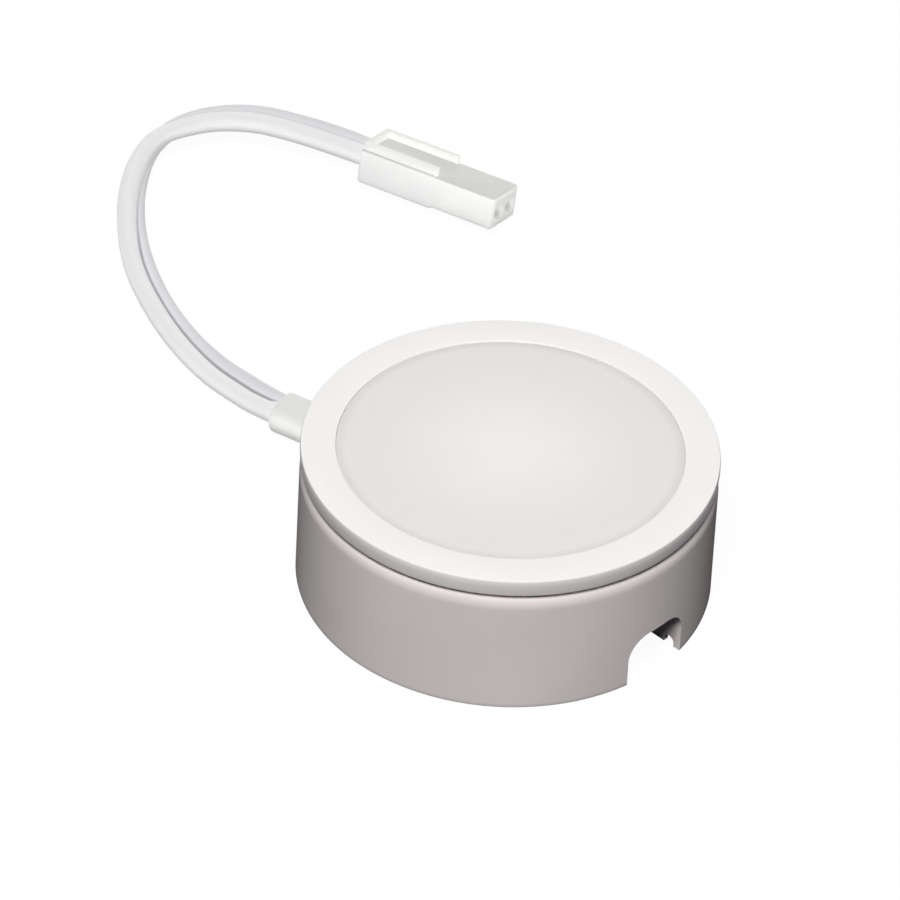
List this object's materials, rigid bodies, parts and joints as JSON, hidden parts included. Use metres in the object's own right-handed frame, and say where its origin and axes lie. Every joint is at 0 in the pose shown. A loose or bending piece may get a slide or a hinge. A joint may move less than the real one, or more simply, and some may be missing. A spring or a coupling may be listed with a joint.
{
  "type": "led puck light",
  "caption": "Low round surface-mounted lamp with a flat frosted lens in a trim ring, a notched collar, a short flat lead and an in-line connector.",
  "frame": {"origin": "middle of the collar's foot, on the surface that the puck is fixed to", "axes": "+Z along the puck's axis, from the foot to the lens; the lead leaves towards -X and +Y"},
  "size_m": [0.112, 0.1604, 0.0263],
  "materials": {
    "white_shell": "satin moulded white plastic",
    "white_trim": "smooth satin white plastic",
    "frosted_lens": "frosted opal plastic, fine matt grain",
    "cast_housing": "die-cast aluminium, fine grain",
    "white_reflector": "glossy white reflector plastic",
    "white_board": "white solder mask on a metal-core board",
    "green_board": "green solder mask on a glass-fibre board",
    "led_phosphor": "yellow phosphor in silicone",
    "black_package": "moulded black epoxy",
    "ceramic_blue": "blue epoxy coat",
    "film_box": "red moulded box",
    "ferrite": "dark sintered ferrite",
    "glass_fuse": "fuse tube, pale body",
    "black_cover": "black moulded plastic, fine grain",
    "steel_screw": "zinc-plated steel",
    "spring_steel": "rolled spring steel",
    "wire_red": "red insulation",
    "wire_black": "black insulation",
    "white_pvc": "white flexible PVC",
    "white_relief": "white moulded PVC, slightly matt",
    "natural_nylon": "natural white nylon",
    "tinned_brass": "tinned brass contact"
  },
  "bodies": {
    "root": {"surface_collar": "white_shell", "trim_ring": "white_trim", "diffuser": "frosted_lens", "module_housing": "cast_housing", "led_board": "white_board", "reflector": "white_reflector", "driver_board": "green_board", "bridge_rectifier": "black_package", "driver_ic": "black_package", "film_capacitor": "film_box", "varistor": "ceramic_blue", "choke": "ferrite", "fuse": "glass_fuse", "back_cover": "black_cover", "led_wire_negative": "wire_black", "led_wire_positive": "wire_red", "lead_core_line": "wire_black", "lead_core_neutral": "white_pvc", "strain_relief": "white_relief", "cord": "white_pvc", "connector_housing": "natural_nylon", "socket_contact_1": "tinned_brass", "socket_contact_2": "tinned_brass", "led_chip_01": "led_phosphor", "led_chip_02": "led_phosphor", "led_chip_03": "led_phosphor", "led_chip_04": "led_phosphor", "led_chip_05": "led_phosphor", "led_chip_06": "led_phosphor", "led_chip_07": "led_phosphor", "led_chip_08": "led_phosphor", "led_chip_09": "led_phosphor", "led_chip_10": "led_phosphor", "led_chip_11": "led_phosphor", "led_chip_12": "led_phosphor", "board_screw_1": "steel_screw", "cover_screw_1": "steel_screw", "clip_screw_1": "steel_screw", "spring_clip_1": "spring_steel", "board_screw_2": "steel_screw", "cover_screw_2": "steel_screw", "clip_screw_2": "steel_screw", "spring_clip_2": "spring_steel", "board_screw_3": "steel_screw", "cover_screw_3": "steel_screw", "clip_screw_3": "steel_screw", "spring_clip_3": "spring_steel"}
  },
  "joints": []
}
